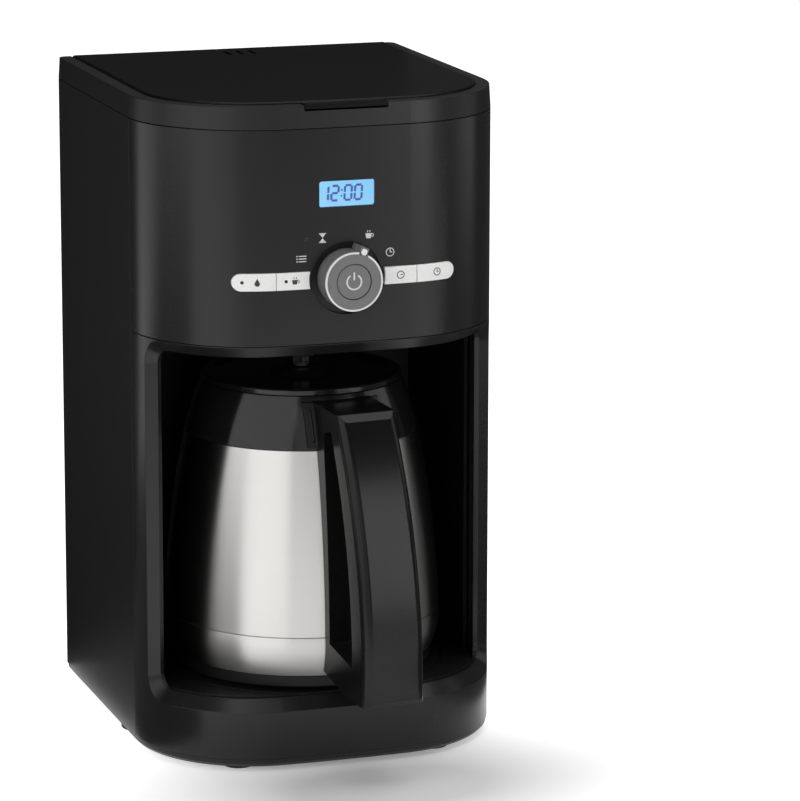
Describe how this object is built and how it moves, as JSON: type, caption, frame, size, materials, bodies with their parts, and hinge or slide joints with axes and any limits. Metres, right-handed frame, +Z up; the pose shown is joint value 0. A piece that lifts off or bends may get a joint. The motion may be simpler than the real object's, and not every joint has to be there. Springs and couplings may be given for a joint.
{
  "type": "drip coffee maker",
  "caption": "Black upright drip coffee maker with a brushed steel thermal carafe in an open bay, a hinged top lid, a selector knob with a power button, a key bar and a small clock display",
  "frame": {"origin": "on the table, at the bottom centre of the bounding box that includes the carafe handle", "axes": "+X to the right seen from the front, +Y to the back, +Z up; the control panel and carafe handle face -Y"},
  "size_m": [0.197, 0.2647, 0.3547],
  "materials": {
    "body_black": "satin moulded plastic",
    "front_black": "satin moulded plastic",
    "lid_black": "satin moulded plastic",
    "inner_black": "matt moulded plastic",
    "clear_tank": "translucent grey",
    "rubber_black": "soft rubber",
    "hose_silicone": "milky silicone",
    "zinc_steel": "zinc plated",
    "spring_steel": "drawn wire",
    "cast_aluminium": "cast",
    "white_plastic": "moulded",
    "thermostat_metal": "pressed",
    "filter_gold": "gold tone",
    "valve_grey": "moulded",
    "circuit_board": "solder resist",
    "lcd_blue": "backlit",
    "display_clear": "clear",
    "led_dark": "smoked lens",
    "knob_black": "satin",
    "knob_trim": "satin chrome",
    "pointer_white": "white",
    "key_silver": "silver lacquer",
    "carafe_steel": "brushed round",
    "flask_steel": "drawn",
    "carafe_black": "satin",
    "handle_black": "satin"
  },
  "bodies": {
    "housing": {"main_housing": "body_black", "top_rim": "body_black", "base_plate": "body_black", "front_frame": "front_black", "control_panel": "front_black", "bay_liner": "inner_black", "bay_ceiling": "inner_black", "carafe_deck": "inner_black", "top_deck": "inner_black", "brew_basket": "inner_black", "valve_seat": "inner_black", "mesh_filter": "inner_black", "cord_gland": "inner_black", "reservoir": "clear_tank", "rubber_feet": "rubber_black", "inlet_hose": "hose_silicone", "outlet_hose": "hose_silicone", "base_screws": "zinc_steel", "board_screws": "zinc_steel", "hinge_pins": "zinc_steel", "hose_clamps": "zinc_steel", "heater_brackets": "zinc_steel", "drip_spring": "spring_steel", "heater": "cast_aluminium", "riser_tube": "white_plastic", "check_valve": "white_plastic", "tact_switches": "white_plastic", "rotary_switch": "white_plastic", "thermostat": "thermostat_metal", "thermal_fuses": "thermostat_metal", "filter_screens": "filter_gold", "control_board": "circuit_board", "lcd_module": "lcd_blue", "display_lens": "display_clear", "status_led": "led_dark"},
    "lid": {"lid": "lid_black", "shower_head": "inner_black"},
    "carafe": {"carafe_cap": "carafe_black", "carafe_band": "carafe_steel", "carafe_shell": "carafe_steel", "carafe_flask": "flask_steel", "carafe_collar": "carafe_black", "carafe_handle": "handle_black", "handle_cover": "handle_black", "handle_screws": "zinc_steel"},
    "carafe_lid": {"carafe_lid": "carafe_black", "lid_gasket": "rubber_black"},
    "selector": {"selector_knob": "knob_black", "knob_trim_ring": "knob_trim", "knob_pointer": "pointer_white"},
    "power": {"power_button": "knob_black"},
    "clean_key": {"clean_button": "key_silver", "clean_led": "led_dark"},
    "batch_key": {"batch_button": "key_silver", "batch_led": "led_dark"},
    "hour_key": {"hour_button": "key_silver"},
    "minute_key": {"minute_button": "key_silver"},
    "drip_plunger": {"drip_valve": "valve_grey", "drip_seal": "rubber_black"},
    "back_flow_ball": {"check_ball": "white_plastic"}
  },
  "joints": [
    {"name": "lid_hinge", "type": "hinge", "parent": "housing", "child": "lid", "pos_m": [0, 0.12386, 0.3485], "axis": [-1, 0, 0], "range_deg": [0, 100]},
    {"name": "carafe_slide", "type": "slide", "parent": "housing", "child": "carafe", "axis": [0, -1, 0], "range_m": [0, 0.22]},
    {"name": "carafe_lid_twist", "type": "hinge", "parent": "carafe", "child": "carafe_lid", "pos_m": [0, -0.00594, 0.1952], "axis": [0, 0, 1], "range_deg": [0, 60]},
    {"name": "selector_turn", "type": "hinge", "parent": "housing", "child": "selector", "pos_m": [0, -0.08664, 0.2627], "axis": [0, 1, 0], "range_deg": [-88, 45]},
    {"name": "power_press", "type": "slide", "parent": "housing", "child": "power", "axis": [0, 1, 0], "range_m": [0, 0.002], "stiffness_N_per_m": 400},
    {"name": "clean_press", "type": "slide", "parent": "housing", "child": "clean_key", "axis": [0, 1, 0], "range_m": [0, 0.0012], "stiffness_N_per_m": 400},
    {"name": "batch_press", "type": "slide", "parent": "housing", "child": "batch_key", "axis": [0, 1, 0], "range_m": [0, 0.0012], "stiffness_N_per_m": 400},
    {"name": "hour_press", "type": "slide", "parent": "housing", "child": "hour_key", "axis": [0, 1, 0], "range_m": [0, 0.0012], "stiffness_N_per_m": 400},
    {"name": "minute_press", "type": "slide", "parent": "housing", "child": "minute_key", "axis": [0, 1, 0], "range_m": [0, 0.0012], "stiffness_N_per_m": 400},
    {"name": "drip_valve_slide", "type": "slide", "parent": "housing", "child": "drip_plunger", "axis": [0, 0, -1], "range_m": [0, 0.0035], "deforming": ["drip_spring"]},
    {"name": "back_flow_ball_lift", "type": "slide", "parent": "housing", "child": "back_flow_ball", "axis": [0, 0, 1], "range_m": [0, 0.003]}
  ],
  "couplings": [
    {"joint": "drip_valve_slide", "follows": "carafe_slide", "ratio": 0.015909}
  ]
}
